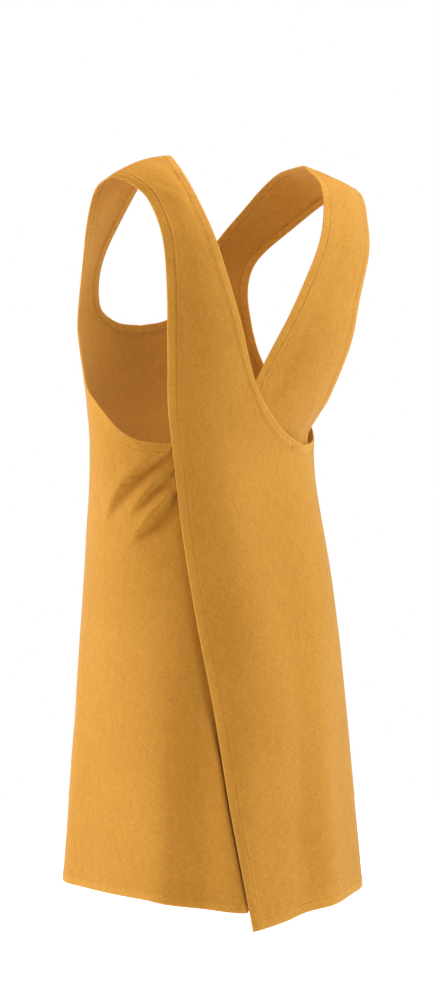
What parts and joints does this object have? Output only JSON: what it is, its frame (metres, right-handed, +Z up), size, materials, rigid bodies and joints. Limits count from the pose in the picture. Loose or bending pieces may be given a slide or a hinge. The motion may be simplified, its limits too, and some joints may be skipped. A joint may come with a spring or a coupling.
{
  "type": "kitchen apron",
  "caption": "Pinafore-style kitchen apron with a bib front, wide straps that cross over the back and a wrap-over skirt, hanging as worn from the shoulders.",
  "frame": {"origin": "between the shoulders, on the upright axis of the apron, level with where the straps rest", "axes": "+X to the wearer's left, +Y to the wearer's back, +Z up"},
  "size_m": [0.3808, 0.3408, 0.9454],
  "materials": {
    "apron_cloth": "matt plain-weave cotton, mustard yellow"
  },
  "bodies": {
    "root": {"front_panel": "apron_cloth", "left_back_panel": "apron_cloth", "right_back_panel": "apron_cloth"}
  },
  "joints": []
}
